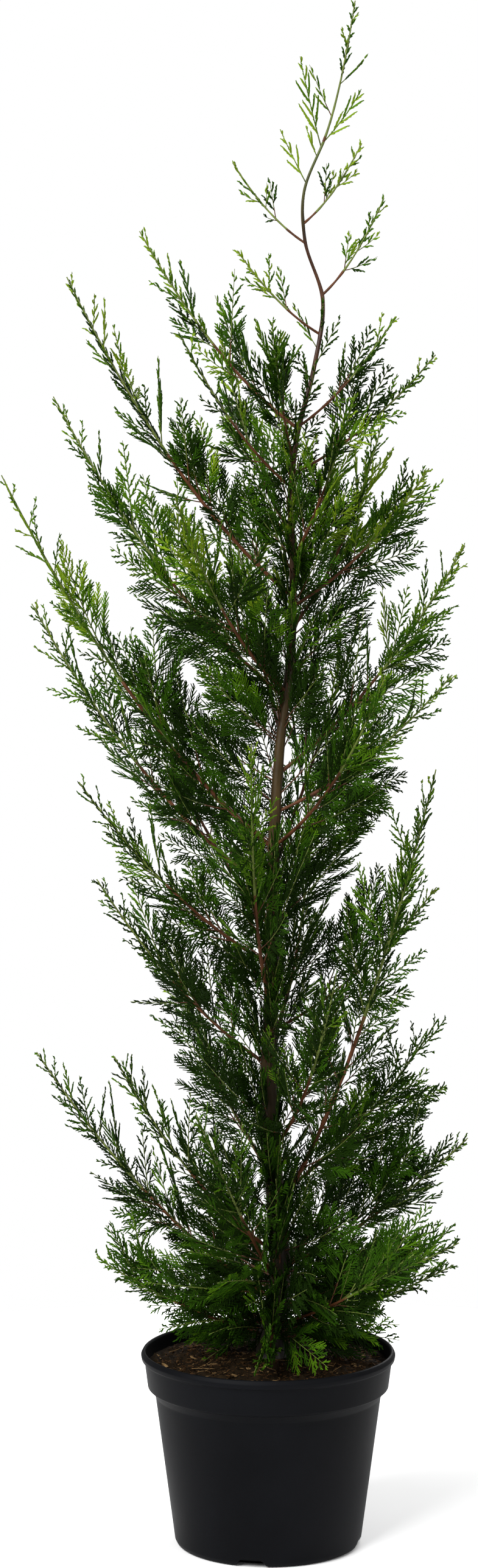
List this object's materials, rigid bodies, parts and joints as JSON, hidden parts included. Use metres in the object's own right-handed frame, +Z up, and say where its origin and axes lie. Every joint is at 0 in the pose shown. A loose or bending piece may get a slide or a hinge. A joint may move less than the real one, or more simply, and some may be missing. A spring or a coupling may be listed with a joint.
{
  "type": "potted leyland cypress",
  "caption": "Young leyland cypress in a round black nursery pot: wavy trunk, rising red-brown boughs and feathery flat green sprays over dark compost.",
  "frame": {"origin": "middle of the pot's flat underside, where it stands on the ground", "axes": "+Z up the trunk, -Y towards the picture's viewer, +X to the viewer's right"},
  "size_m": [0.5441, 0.4778, 1.8011],
  "materials": {
    "pot": "satin",
    "compost": "rough",
    "trunk": "satin",
    "bough": "satin",
    "foliage": "matte"
  },
  "bodies": {
    "root": {"pot": "pot", "compost": "compost", "trunk": "trunk", "bough_left_2": "bough", "bough_left_5": "bough", "bough_left_7": "bough", "bough_left_8": "bough", "bough_left_9": "bough", "bough_left_10": "bough", "bough_right_5": "bough", "bough_right_7": "bough", "bough_right_8": "bough", "bough_front_5": "bough", "bough_front_7": "bough", "bough_back_6": "bough", "foliage_left_1": "foliage", "foliage_left_2": "foliage", "foliage_left_3": "foliage", "foliage_left_4": "foliage", "foliage_left_5": "foliage", "foliage_left_6": "foliage", "foliage_left_7": "foliage", "foliage_left_8": "foliage", "foliage_left_9": "foliage", "foliage_left_10": "foliage", "foliage_left_11": "foliage", "foliage_right_1": "foliage", "foliage_right_2": "foliage", "foliage_right_3": "foliage", "foliage_right_4": "foliage", "foliage_right_5": "foliage", "foliage_right_6": "foliage", "foliage_right_7": "foliage", "foliage_right_8": "foliage", "foliage_right_9": "foliage", "foliage_right_10": "foliage", "foliage_right_11": "foliage", "foliage_front_1": "foliage", "foliage_front_2": "foliage", "foliage_front_3": "foliage", "foliage_front_4": "foliage", "foliage_front_5": "foliage", "foliage_front_6": "foliage", "foliage_front_7": "foliage", "foliage_front_8": "foliage", "foliage_front_9": "foliage", "foliage_back_1": "foliage", "foliage_back_2": "foliage", "foliage_back_3": "foliage", "foliage_back_4": "foliage", "foliage_back_5": "foliage", "foliage_back_6": "foliage", "foliage_back_7": "foliage", "foliage_back_8": "foliage", "foliage_back_9": "foliage", "foliage_top_1": "foliage", "foliage_top_2": "foliage", "foliage_top_3": "foliage", "foliage_top_4": "foliage", "foliage_leader": "foliage"}
  },
  "joints": []
}
